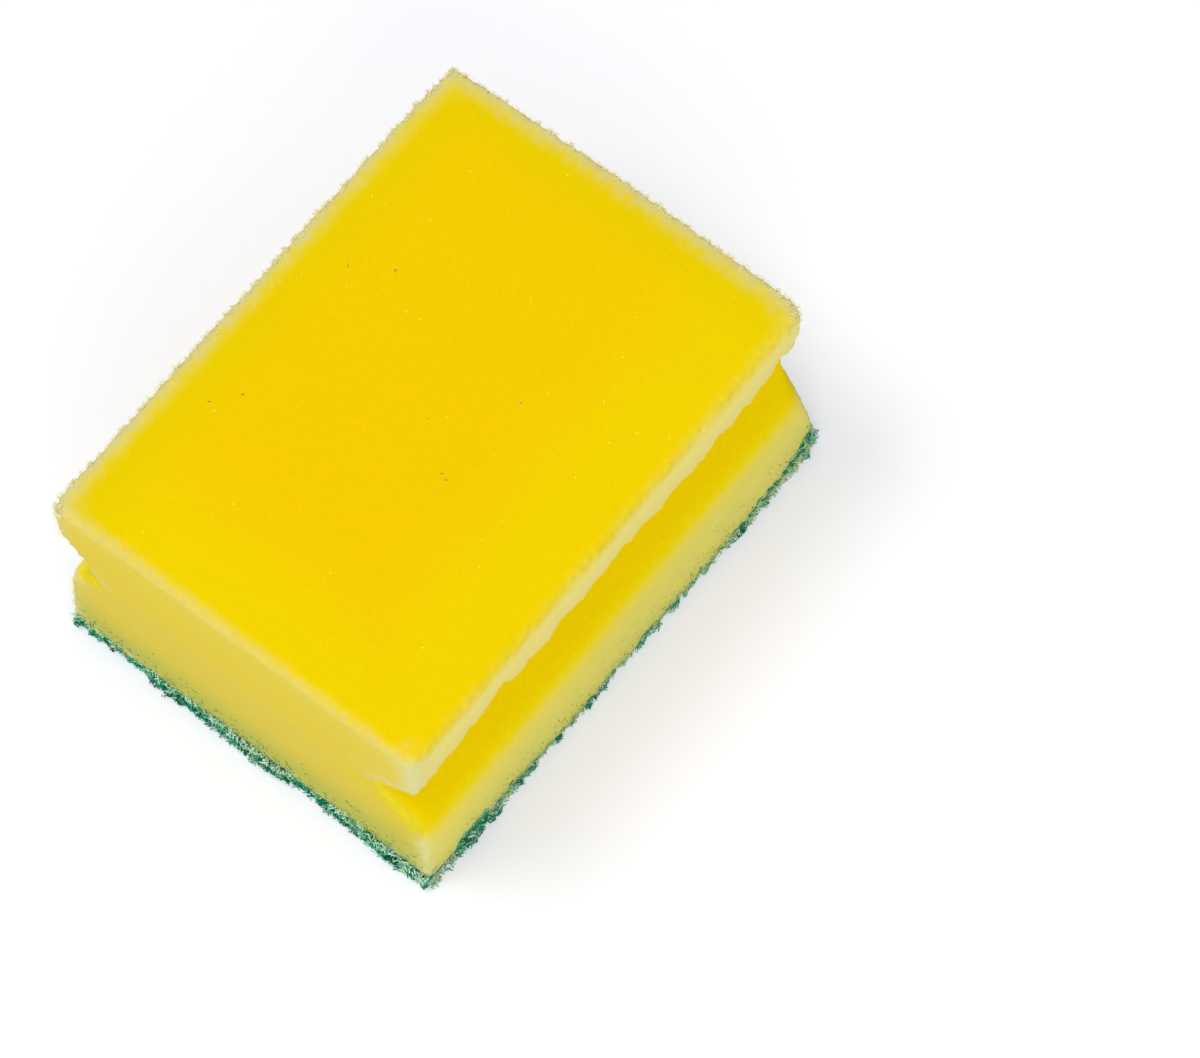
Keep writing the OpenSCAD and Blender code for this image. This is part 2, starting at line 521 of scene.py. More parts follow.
def storeLayout(block, x, y, z):
    # stores where each point lies on the unworn block, for the finish to follow; returns how
    # much its edge is rubbed soft
    front, back = y - frontFace(x), foamHigh.y - y
    left, right = x - foamLow.x, foamHigh.x - x
    below = foamHigh.z - z
    depth = np.interp(z, (foam["flangeEdge"], foam["root"], foam["lipEdge"]),
                      (0, foam["grooveDepth"], 0))
    endGap = np.maximum(np.minimum(left, right), 0)
    sideGap = np.maximum(np.minimum(front, back) - depth, 0)
    corner = np.hypot(endGap, sideGap)
    atFront = front < back
    atLeft = left < right

    # 0 on the top, 1 where a side's colour is reached, which is partly painted sheen, with each
    # side's own run
    frontRun = front - np.interp(x, zones["frontPlaces"], zones["frontShift"])
    leftRun = left - y / zones["leftSlant"]
    fades = []
    for gap, (start, end) in ((frontRun, zones["frontFade"]), (leftRun, zones["leftFade"]),
                              (back, zones["backFade"]), (right, zones["rightFade"])):
        fades.append(np.clip((start - (gap - below)) / (start - end), 0, 1))
    cornerRun = np.where(atFront & atLeft, zones["nearCornerFade"], zones["cornerFade"])
    fades.append(np.clip((cornerRun - corner) / zones["cornerFadeRun"], 0, 1))
    storeValue(block, "sideFade", np.minimum((np.array(fades) ** 3).sum(axis=0) ** (1 / 3), 1))
    # painted sheen: a paler, greyer band along the back and right top edges, where light shines
    # through the thin foam edges
    far = zones["farSheenFade"] * (np.array(fades[2:4]) ** 4).sum(axis=0) ** 0.25
    storeValue(block, "farSheenFade", np.minimum(far, 1) * (1 - ramp(below, *zones["farFadeDepth"])))

    # the height and the side whose colours a point takes
    shift = zones["backShift"] + zones["innerShift"] * ramp(endGap, *zones["innerRun"])
    shift = shift * (1 - ramp(z, *zones["shiftHeights"])) * np.exp(-sideGap / 2)
    storeValue(block, "level", z - np.where(atFront, 0, shift))
    storeValue(block, "sideways", ramp(endGap - sideGap, -zones["arris"], zones["arris"]))

    share = np.where(atFront, np.interp(z, zones["frontPale"], zones["paleShares"]),
                     np.interp(z, zones["backPale"], zones["paleShares"]))
    share = share * (zones["topPale"] + (1 - zones["topPale"]) * ramp(below, 0, 1.5))
    share = share * np.where(atLeft, 1, zones["rightPale"])
    pale = np.exp(-corner / np.interp(z, zones["paleHeights"], zones["paleRuns"])) * share
    pale += (zones["lipPale"] * np.exp(-corner / zones["lipPaleRun"])
             * np.interp(z, zones["lipPaleHeights"], (0, 1)) * (atFront & atLeft))
    storeValue(block, "cornerPaleHighlight", np.minimum(pale, 1))

    # painted shade round the mouths of the grooves
    gold = np.interp(z, zones["frontGold"], zones["goldShares"])
    gold = gold * (1 - ramp(endGap, 0.5, 2)) * ramp(sideGap, -1.2, 0.1)
    backGold = np.interp(z, zones["backGold"], zones["goldShares"]) * (1 - ramp(sideGap, 0.5, 1.5))
    storeValue(block, "mouthGoldShade",
               np.exp(-corner / zones["goldRun"]) * np.where(atFront, gold, backGold * atLeft))

    soft = np.exp(-(corner / zones["softRun"]) ** 2)
    soft = soft * np.interp(z, zones["softHeights"], zones["softShares"])
    backLip = (z > zones["backLipHeight"]) & ~atFront
    soft *= np.where(atLeft, np.where(backLip, zones["softBackLip"], 1), zones["softRight"])
    for gap, (run, most) in ((front, zones["frontRub"]), (left, zones["leftRub"])):
        rub = np.exp(-((gap - below) / run) ** 2) * most
        soft = np.maximum(soft, np.where(below < zones["rubDepth"], rub, 0))
    return soft


def tearLips(x, y, z):
    # moves the lower edges of both lips up and down, and fades out into the groove
    (longSize, longRise), (shortSize, shortRise) = foam["lipRipples"]
    for face, tears, seed in ((y - frontFace(x), foam["frontTears"], 3),
                              (foamHigh.y - y, foam["backTears"], 4)):
        along = np.stack([x, x * 0, x * 0], axis=1)
        rise = tearAt(x, tears) + longRise * waves(along, longSize, seed)
        rise = rise + shortRise * waves(along, shortSize, seed + 5)
        above = np.clip(1 - (z - foam["lipEdge"]) / foam["tearHeight"], 0, 1)
        below = np.clip(1 - face / (foam["grooveDepth"] - 1), 0, 1)
        weight = np.where(z > foam["lipEdge"], above * np.clip(1 - face / foam["tearDepth"], 0, 1),
                          below)
        weight = np.where((z < foam["root"] + 0.4) | (face > 12), 0, weight)
        z += rise * weight

    # worn root of the back groove at the -X end
    back = foamHigh.y - y - foam["grooveDepth"]
    size = foam["wornRootSize"]
    root = np.exp(-((z - foam["root"]) / size) ** 2 - (back / size) ** 2)
    root *= 1 - ramp(x - foamLow.x, *foam["wornRootRun"])
    z -= foam["wornRootDrop"] * root
    y += foam["wornRootOut"] * root


def lapFoot(block, points):
    # the foot of the foam laps over the pad
    x, y, z = points.T
    gaps = np.stack([y - frontFace(x), foamHigh.y - y, x - foamLow.x, foamHigh.x - x])
    share = np.exp(-np.maximum(gaps, 0) / 0.7)
    lows = np.full_like(gaps, foam["otherFoot"])
    lows[0] = np.interp(x, foam["footPlaces"], foam["footHeights"])
    lows[2] = np.interp(y, foam["leftPlaces"], foam["leftHeights"])
    lowest = (share * lows).sum(axis=0) / np.maximum(share.sum(axis=0), 1e-6)
    face = gaps.min(axis=0)
    (fineSize, fine), (broadSize, broad) = foam["footRuffles"]
    ruffle = fine * waves(points, fineSize, 8) + broad * waves(points, broadSize, 9)
    start, end = foam["footRun"]
    reach = foamLow.z - lowest + ruffle
    z -= (reach * (1 - ramp(z, foamLow.z + start, foamLow.z + end))
          * (1 - ramp(face, *foam["footDepth"])))
    flare = (frontFace(x) - foamLow.y + foam["footFlare"]) * (1 - 0.6 * ramp(x, 39, 47))
    flare = flare + 0.1 * ruffle
    y -= flare * (1 - ramp(z, 2.5, 10)) * (1 - ramp(gaps[0], 0.5, 4.5))
    haze = 1 - ramp(z - lowest + ruffle, -0.1, foam["hazeHeight"])
    haze = haze * (1 - ramp(face, 0.8, 2.5)) * np.where(gaps[0] < gaps[2], 1, foam["otherHaze"])
    storeValue(block, "footHaze", haze)


def wearFoam(block):
    applyModifier(block, "REMESH", mode="VOXEL", voxel_size=foam["voxel"] * mm)
    points = readPoints(block)
    x, y, z = points.T
    softness = storeLayout(block, x, y, z)
    bow = ramp(x, *foam["bowRun"]) * (1 - (y / foamHigh.y) ** 2) * ramp(z, *foam["bowHeights"])
    x += foam["endBow"] * bow

    # upright corners, the worn one softer towards the top of the flange
    front = y - frontFace(x)
    back = foamHigh.y - y
    plain = np.full(len(points), foam["cornerRound"])
    y += roundUpright(points, -1, front, np.where(z > foam["root"], foam["frontLipRound"], plain))
    y -= roundUpright(points, -1, back, plain)
    y -= roundUpright(points, 1, back, plain)
    low, high = foam["wornFlangeRound"], foam["wornFlangeTop"]
    start, end = foam["wornFlangeHeights"]
    flange = low + (high - low) * np.clip((z - start) / (end - start), 0, 1) ** 1.5
    low, high = foam["wornLipLow"], foam["wornLipRound"]
    lip = high + (low - high) * (1 - ramp(z, *foam["wornLipHeights"]))
    worn = np.where(z > foam["root"] + 1, lip, flange)
    y += roundUpright(points, 1, front, worn)

    tearLips(x, y, z)
    lapFoot(block, points)
    writePoints(block, points)

    # rubbed edges, soft unevenness, cell roughness and nibbled edges
    points += (smoothed(block, foam["rubRounds"]) - points) * softness[:, None]
    writePoints(block, points)
    normals = readNormals(block)
    edge = np.clip(bulge(block, foam["edgeRounds"]) / foam["edgeBulge"], 0, 1)
    upper = ramp(points[:, 2], foamLow.z + 1, foamLow.z + 4)
    rough = foam["cellRoughness"] * (1 + foam["edgeRoughness"] * edge)
    move = foam["sag"] * waves(points, foam["sagSize"], 1) * upper
    move += rough * waves(points, foam["cellSize"], 2)
    move -= foam["nibble"] * edge * np.abs(waves(points, foam["nibbleSize"], 6)) * upper
    points += normals * move[:, None]
    writePoints(block, points)
    return block


foamBlock = wearFoam(cutFoam())
makeActive(foamBlock)
bpy.ops.object.shade_smooth()
print("foam block shaped:", len(foamBlock.data.polygons), "faces")


# Open cells that stand along the foam's edges, copied from one modelled cell rim

cells = {
    "radius": 0.24,
    "strut": 0.042,
    "corners": 7,
    "strutSides": 4,
    "count": 2200,
    # how thickly they stand on the back and right top edges, on the back left corner, elsewhere
    "shares": (1.0, 0.7, 0.4, 0.0),
    "topBand": 1.4,
    "sideBand": 2,
    "lowest": 3.5,  # height above the pad that they start at
    "edgeRounds": 6,
    "leastBulge": 0.2,
    "standOut": 0.55,
    "scatter": 0.1,
    "wobble": 0.13,
    "sizes": (0.72, 1.25),
    "highest": 0.45,  # how far above the foam's top they may reach
    "seed": 5,
}


def addCells(block):
    deselectAll()
    bpy.ops.mesh.primitive_torus_add(major_segments=cells["corners"],
                                     minor_segments=cells["strutSides"],
                                     major_radius=cells["radius"] * mm,
                                     minor_radius=cells["strut"] * mm)
    rim = bpy.context.object
    rim.name = "foamCells"
    rimPoints = readPoints(rim)
    rimFaces = np.array([list(face.vertices) for face in rim.data.polygons])

    points = readPoints(block)
    normals = readNormals(block)
    edge = np.clip(bulge(block, cells["edgeRounds"]), 0, 1)
    x, y, z = points.T
    back, right, corner, rest = cells["shares"]
    atTop = z > foamHigh.z - cells["topBand"]
    atBack = y > foamHigh.y - cells["sideBand"]
    atRight = x > foamHigh.x - cells["sideBand"]
    atLeft = x < foamLow.x + cells["sideBand"]
    share = np.where(atTop & atBack, back, rest)
    share = np.where(atTop & atRight & (share == rest), right, share)
    share = np.where(atLeft & atBack & (share == rest), corner, share)
    onEdge = (edge > cells["leastBulge"]) & (z > foamLow.z + cells["lowest"])
    wish = np.where(onEdge, edge ** 0.5, 0) * share
    rng = np.random.default_rng(cells["seed"])
    chosen = rng.choice(len(points), cells["count"], p=wish / wish.sum())
    allPoints, allFaces = [], []
    for number, index in enumerate(chosen):
        wobble = 1 + rng.normal(0, cells["wobble"], (cells["corners"], 1))
        wobble = wobble.repeat(cells["strutSides"], axis=0)
        size = rng.uniform(*cells["sizes"])
        turn = np.linalg.qr(rng.normal(size=(3, 3)))[0]
        if np.linalg.det(turn) < 0:
            turn[:, 0] *= -1
        out = normals[index] * (1, 1, 0.2)  # more sideways than up
        spot = points[index] + out * cells["standOut"] * rng.uniform(0.0, 1) * edge[index] ** 0.5
        spot = spot + rng.normal(0, cells["scatter"], 3)
        allPoints.append((rimPoints * wobble * size) @ turn.T + spot)
        allFaces.append(rimFaces + number * len(rimPoints))
    allPoints = np.concatenate(allPoints)
    allPoints[:, 2] = np.minimum(allPoints[:, 2], foamHigh.z + cells["highest"])
    mesh = bpy.data.meshes.new("foamCells")
    mesh.from_pydata((allPoints * mm).tolist(), [], np.concatenate(allFaces).tolist())
    mesh.update()
    old = rim.data
    rim.data = mesh
    bpy.data.meshes.remove(old)
    return rim


foamCells = addCells(foamBlock)
print("foam cells set:", len(foamCells.data.polygons), "faces")


# Scouring pad: a felted mat, with curly fibres round its cut edge and under it

pad = {
    "inset": 0.9,
    "lowGap": 0.35,  # the mat's lower face above the ground
    "highGap": 0.1,  # its upper face below the foam
    "edgeRound": 0.6,
    "voxel": 0.9,
    "matRough": 0.4,
    "matLumps": (2.6, 1.1),
    "frontPush": 0.4,  # how far its front edge is moved out again
    "frontFollow": 0.7,  # how closely it follows the fringe there
    "frontDepth": (0.8, 3.5),
}


def makeMat():
    low = padLow + Vector((pad["inset"], pad["inset"], pad["lowGap"]))
    high = padHigh - Vector((pad["inset"], pad["inset"], pad["highGap"]))
    deselectAll()
    bpy.ops.mesh.primitive_cube_add(size=1, location=(low + high) / 2 * mm, scale=(high - low) * mm)
    mat = bpy.context.object
    mat.name = "padMat"
    applyPlace(mat)
    bpy.ops.object.mode_set(mode="EDIT")
    bpy.ops.mesh.select_all(action="SELECT")
    bpy.ops.mesh.bevel(offset=pad["edgeRound"] * mm, segments=2)
    bpy.ops.object.mode_set(mode="OBJECT")
    applyModifier(mat, "REMESH", mode="VOXEL", voxel_size=pad["voxel"] * mm)
    points = readPoints(mat)
    normals = readNormals(mat)
    broad, fine = pad["matLumps"]
    push = pad["matRough"] * (waves(points, broad, 11) + 0.5 * waves(points, fine, 12))
    level = 1 - ramp(points[:, 2], padHigh.z - 1.2, padHigh.z - 0.5)
    points += normals * (push * level)[:, None]
    points[:, 2] = np.clip(points[:, 2], 0.2, padHigh.z - 0.05)
    out = np.interp(points[:, 0], fibres["frontPlaces"], fibres["frontOut"])
    out = pad["frontPush"] + pad["frontFollow"] * out
    points[:, 1] -= out * (1 - ramp(points[:, 1] - padLow.y, *pad["frontDepth"]))
    writePoints(mat, points)
    makeActive(mat)
    bpy.ops.object.shade_smooth()
    return mat


fibres = {
    "radius": 0.1,
    "endTaper": 0.65,  # a strand's thickness at its ends, as a share of that in its middle
    "step": 0.33,
    "curl": 0.9,
    "sideCount": {"left": 5000, "front": 4200, "right": 2600, "back": 3400},
    # how far the left side's cut edge stands out past the foam: places along it, amounts
    "leftPlaces": (0, 7.5, 9.5, 11.5, 15, 19.4, 22, 24.5, 27, 33, 36, 42, 44.8, 49, 51, 55, 59,
                   62, 67, 71.3),
    "leftOut": (-0.4, -0.2, -1.3, -0.35, -0.05, 0.5, 0.25, 0.3, 0.5, 0.65, 0.9, 0.85, 0.0, 0.1,
                0.35, 0.5, 0.6, 1.1, 0.95, 1.15),
    # the same for the front side, places along x
    "frontPlaces": (-47.5, -45, -41, -38, -35, -31, -29.5, -20, 0, 20, 33, 44, 47.5),
    "frontOut": (0.5, 0.5, 0.3, 0.95, 0.5, 0.35, 0.3, 0.0, 0.0, 0.0, 0.3, 0.1, -0.8),
    "otherOut": -0.25,  # the same all along the other two sides
    "clumpSizes": (1.5, 0.6),
    "clumpOut": 0.6,  # how far the clumps stand out
    "underFoot": 1.0,  # how far the front edge is set back under the foam's foot
    # the other edges are set back no more than the second value from the first height up
    "highLevel": 2.3,
    "highOut": -0.36,
    # how far the fuzz climbs above the foam's foot, its unevenness and the size of that
    "frontFuzz": (0.2, 0.6, 1.6),
    "otherFuzz": (0.7, 1.3, 2.4),
    "cornerFuzz": 0.9,  # how much lower it stays where the left and right sides start
    "stubs": 17,  # cut ends among every 20 strands of an edge
    "thickness": (0.65, 1.15),
    "clumpTones": (0.4, -0.1, -0.7),  # lower limits of the three deep tones
    "frontTone": -0.9,  # darkening of the front side, more so towards its right
    "rightTone": -0.4,
    "rightToneRun": (25, 34),
    "brightPatch": (-39.9, -33),
    "patchTone": -0.2,
    "leftTone": 0.25,
    "leftToneFall": -0.3,
    "leftToneRun": (25, 36),
    "paleShare": 0.93,  # share of the palest tone in the cut ends; the others are straw
    "frontPaleShare": 0.3,
    "underCount": 1500,
    "underStep": 0.85,
    "underHeights": (0.13, 0.85),
    "underThickness": (0.75, 1.15),
    "underTones": (1.0, 1.8, 0.8, 0.2, 0.07),  # shares of the tones, from the deepest
    "seed": 21,
}

# each side of the mat: its start, the way along it, the way out of it, and its length
padSides = {
    "left": (Vector((padLow.x, padHigh.y, 0)), Vector((0, -1, 0)), Vector((-1, 0, 0)),
             padHigh.y - padLow.y),
    "front": (Vector((padLow.x, padLow.y, 0)), Vector((1, 0, 0)), Vector((0, -1, 0)),
              padHigh.x - padLow.x),
    "right": (Vector((padHigh.x, padLow.y, 0)), Vector((0, 1, 0)), Vector((1, 0, 0)),
              padHigh.y - padLow.y),
    "back": (Vector((padHigh.x, padHigh.y, 0)), Vector((-1, 0, 0)), Vector((0, 1, 0)),
             padHigh.x - padLow.x),
}


def clumpAt(side, along, height):
    # above 0 in a felted clump of strands, below 0 between the clumps
    spot = Vector((along, height * 1.2, list(padSides).index(side) * 7.0))
    broad, fine = fibres["clumpSizes"]
    return noise.noise(spot / broad) + 0.5 * noise.noise(spot / fine)


def edgeLine(side, along, height):
    # how far the mat's cut edge stands out at a place along it
    line = fibres["otherOut"]
    if side == "left":
        line = float(np.interp(along, fibres["leftPlaces"], fibres["leftOut"])) - 0.4
    if side == "right":
        line -= 0.5 * (1 - ramp(along, 1, 5))
    if side == "front":
        x = padLow.x + along
        foot = float(np.interp(x, foam["footPlaces"], foam["footHeights"]))
        line = float(np.interp(x, fibres["frontPlaces"], fibres["frontOut"]))
        if height > foot - 0.2:
            line -= fibres["underFoot"]
    line += fibres["clumpOut"] * clumpAt(side, along, height)
    if side != "front" and height > fibres["highLevel"]:
        line = max(line, fibres["highOut"])
    return line


def fuzzTop(side, along):
    # how high the fuzz climbs at a place along the edge
    foot = foam["otherFoot"]
    if side == "left":
        foot = float(np.interp(padHigh.y - along, foam["leftPlaces"], foam["leftHeights"])) - 0.3
    if side == "front":
        foot = float(np.interp(padLow.x + along, foam["footPlaces"], foam["footHeights"]))
    climb, uneven, size = fibres["frontFuzz" if side == "front" else "otherFuzz"]
    spot = Vector((along, 9.0, list(padSides).index(side) * 3.0))
    top = foot + climb + uneven * noise.noise(spot / size)
    return top - fibres["cornerFuzz"] * (1 - ramp(along, 0, 4)) * (side in ("left", "right"))


def fuzzHeight(rng, side, along):
    # thick from the ground up, thinning out where the mat meets the foam
    return 0.13 + (fuzzTop(side, along) + 0.7) * rng.betavariate(1.2, 1.7)


def edgeStrand(rng, side, length):
    # a curly strand that lies in the felt near a cut edge
    along = rng.uniform(0.2, length - 0.2)
    out = -abs(rng.gauss(0, 0.8)) + 0.2
    height = fuzzHeight(rng, side, along)
    heading = rng.uniform(0, 2 * math.pi)
    pitch = rng.gauss(0, 0.5)
    bend = rng.gauss(0, 0.5)
    path = []
    for step in range(rng.randint(4, 7)):
        along = min(max(along, 0.12), length - 0.12)
        height = max(height, fibres["radius"] + 0.02)
        path.append((along, min(out, edgeLine(side, along, height)), height))
        heading += bend + rng.gauss(0, fibres["curl"])
        pitch = pitch * 0.7 + rng.gauss(0, 0.5)
        reach = fibres["step"] * rng.uniform(0.7, 1.2)
        along += math.cos(heading) * reach
        out += math.sin(heading) * reach
        height += math.sin(pitch) * reach
    return path


def cutStub(rng, side, length):
    # a short strand end, cut through at the edge
    along = rng.uniform(0.12, length - 0.12)
    height = fuzzHeight(rng, side, along)
    tip = edgeLine(side, along, height) + rng.uniform(-0.5, 0.2)
    if rng.random() < 0.1:
        tip += rng.uniform(0.1, 0.6)
    lean, drop, reach = rng.gauss(0, 1.1), rng.gauss(0, 0.8), rng.uniform(0.22, 0.55)
    path = []
    for step in range(3):
        back = (2 - step) * reach * 0.5
        path.append((min(max(along + lean * back + rng.gauss(0, 0.07), 0.12), length - 0.12),
                     tip - back, max(height + drop * back, 0.12)))
    return path


def underStrand(rng):
    # a long curly strand on the pad's lower face, which turns back at the pad's edge
    lowest, highest = fibres["underHeights"]
    x = rng.uniform(padLow.x + 1, padHigh.x - 1)
    y = rng.uniform(padLow.y + 1, padHigh.y - 1)
    height = rng.uniform(lowest, highest - 0.1)
    heading = rng.uniform(0, 2 * math.pi)
    bend = rng.gauss(0, 0.22)

    def ahead():
        return (x + math.cos(heading) * fibres["underStep"],
                y + math.sin(heading) * fibres["underStep"])

    path = []
    for step in range(rng.randint(9, 15)):
        path.append((x, y, height))
        heading += bend + rng.gauss(0, 0.35)
        if rng.random() < 0.12:
            bend = -bend
        nextX, nextY = ahead()
        if not (padLow.x + 0.5 < nextX < padHigh.x - 0.5
                and padLow.y + 0.5 < nextY < padHigh.y - 0.5):
            heading = math.atan2(-y, -x) + rng.gauss(0, 0.6)
            nextX, nextY = ahead()
        x, y = nextX, nextY
        height = min(max(height + rng.gauss(0, 0.09), lowest), highest)
    return path


def pickTone(rng, shares):
    roll = rng.random() * sum(shares)
    for tone, share in enumerate(shares):
        roll -= share
        if roll < 0:
            return tone
    return 0


def toneAt(rng, side, along, height):
    # deep green in the clumps, paler towards the ground, the bond and the free cut ends; the deep
    # tones partly paint the shade inside the clumps, and the pale tones partly paint light shining
    # through the sparse strands
    middle = 0.42 * fuzzTop(side, along)
    value = (2.2 * clumpAt(side, along, height) - 0.35 * ((height - middle) / 1.2) ** 2
             + rng.gauss(0, 0.22))
    pale = fibres["paleShare"]
    if side == "front":
        x = padLow.x + along
        start, end = fibres["brightPatch"]
        darker = fibres["frontTone"] + fibres["rightTone"] * ramp(x, *fibres["rightToneRun"])
        value += fibres["patchTone"] if start < x < end else darker
        pale = fibres["frontPaleShare"]
    elif side == "left":
        value += fibres["leftTone"] + fibres["leftToneFall"] * ramp(along, *fibres["leftToneRun"])
    for tone, level in enumerate(fibres["clumpTones"]):
        if value > level:
            return tone
    return 3 if rng.random() < pale else 4


def makeStrands(name, strands, materials):
    # each strand is its points, its tone and its thickness
    deselectAll()
    bpy.ops.curve.primitive_bezier_curve_add(location=(0, 0, 0))
    bundle = bpy.context.object
    bundle.name = name
    curve = bundle.data
    curve.splines.clear()
    curve.dimensions = "3D"
    curve.bevel_depth = fibres["radius"] * mm
    curve.bevel_resolution = 0
    curve.use_fill_caps = True
    for material in materials:
        curve.materials.append(material)
    for path, tone, thickness in strands:
        spline = curve.splines.new("POLY")
        spline.points.add(len(path) - 1)
        flat = []
        for point in path:
            flat.extend((point[0] * mm, point[1] * mm, point[2] * mm, 1))
        spline.points.foreach_set("co", flat)
        last = len(path) - 1
        widths = [thickness * (fibres["endTaper"] if step in (0, last) else 1)
                  for step in range(len(path))]
        spline.points.foreach_set("radius", widths)
        spline.material_index = tone
        spline.use_smooth = True
    makeActive(bundle)
    bpy.ops.object.convert(target="MESH")
    return bpy.context.object


# Effects that more than one material uses

def makeCellGroup():
    group, start, end = startGroup(
        "openCells",
        [("Vector", "NodeSocketVector", None), ("Cells Per Mm", "NodeSocketFloat", 1.9),
         ("Glint Size", "NodeSocketFloat", 0.06)],
        [("Height", "NodeSocketFloat"), ("Tone", "NodeSocketFloat"),
         ("Glint", "NodeSocketFloat")])
    vector = start.outputs["Vector"]
    warp = addNode(group, "ShaderNodeTexNoise", {"Vector": vector, "Scale": 1.3, "Detail": 1.0})
    moved = addNode(group, "ShaderNodeVectorMath", {0: warp.outputs["Color"], 1: (0.5, 0.5, 0.5)},
                    operation="MULTIPLY")
    added = addNode(group, "ShaderNodeVectorMath", {0: vector, 1: moved.outputs[0]},
                    operation="ADD")
    cell = addNode(group, "ShaderNodeTexVoronoi",
                   {"Vector": added.outputs[0], "Scale": start.outputs["Cells Per Mm"]})
    group.links.new(addRange(group, cell.outputs["Distance"], 0.12, 0.75), end.inputs["Height"])
    tone = addNode(group, "ShaderNodeSeparateColor", {0: cell.outputs["Color"]})
    group.links.new(tone.outputs[0], end.inputs["Tone"])
    # painted glints: rare bright dots where a cell wall catches the light
    speck = addNode(group, "ShaderNodeTexVoronoi", {"Vector": vector, "Scale": 0.42})
    rare = addNode(group, "ShaderNodeSeparateColor", {0: speck.outputs["Color"]})
    isRare = addRange(group, rare.outputs[1], 0.62, 0.70)
    size = addMath(group, "SUBTRACT", start.outputs["Glint Size"], speck.outputs["Distance"])
    dot = addRange(group, size, 0.0, 0.02)
    group.links.new(addMath(group, "MULTIPLY", dot, isRare), end.inputs["Glint"])
    return group


def makeDustGroup():
    group, start, end = startGroup(
        "fibreDust",
        [("Vector", "NodeSocketVector", None), ("Height", "NodeSocketFloat", 0.0),
         ("Low", "NodeSocketFloat", 4.0), ("High", "NodeSocketFloat", 11.0)],
        [("Tint", "NodeSocketFloat"), ("Specks", "NodeSocketFloat")])
    vector, height = start.outputs["Vector"], start.outputs["Height"]
    cloud = addNoise(group, vector, 0.35, 3.0)
    shift = addRange(group, cloud, 0.3, 0.7, -2.0, 2.0, smooth=False)
    level = addMath(group, "ADD", height, shift)
    tint = addRange(group, level, start.outputs["Low"], start.outputs["High"], 1.0, 0.0)
    group.links.new(tint, end.inputs["Tint"])
    speck = addNode(group, "ShaderNodeTexVoronoi", {"Vector": vector, "Scale": 1.5})
    uneven = addNoise(group, vector, 3.0, 2.0)
    size = addMath(group, "MULTIPLY", uneven, addRange(group, tint, 0.0, 1.0, 0.18, 0.5))
    dot = addRange(group, addMath(group, "SUBTRACT", size, speck.outputs["Distance"]), -0.04, 0.04)
    chance = addNode(group, "ShaderNodeSeparateColor", {0: speck.outputs["Color"]})
    some = addRange(group, addMath(group, "SUBTRACT", addMath(group, "MULTIPLY", tint, 0.75),
                                   chance.outputs[0]), -0.1, 0.05)
    group.links.new(addMath(group, "MULTIPLY", dot, some), end.inputs["Specks"])
    return group


def makeFibreGroup():
    group, start, end = startGroup(
        "fibreShade",
        [("Vector", "NodeSocketVector", None), ("Deep", "NodeSocketColor", (0, 0.1, 0.05, 1)),
         ("Bright", "NodeSocketColor", (0.1, 0.4, 0.2, 1))],
        [("Color", "NodeSocketColor"), ("Bump", "NodeSocketFloat")])
    vector = start.outputs["Vector"]
    clump = addNoise(group, vector, 0.32, 2.0)
    fine = addNoise(group, vector, 2.6, 2.0)
    value = addMath(group, "ADD", addRange(group, clump, 0.35, 0.65, 0.0, 0.6),
                    addRange(group, fine, 0.35, 0.65, 0.0, 0.4))
    group.links.new(addMix(group, value, start.outputs["Deep"], start.outputs["Bright"]),
                    end.inputs["Color"])
    group.links.new(addNoise(group, vector, 9.0, 1.0), end.inputs["Bump"])
    return group


openCells = makeCellGroup()
fibreDust = makeDustGroup()
fibreShade = makeFibreGroup()


# Foam finish: deep yellow on the top and in the grooves, paler on the sawn and rubbed faces and
# edges, where the paleness is partly painted sheen and light shining through the foam

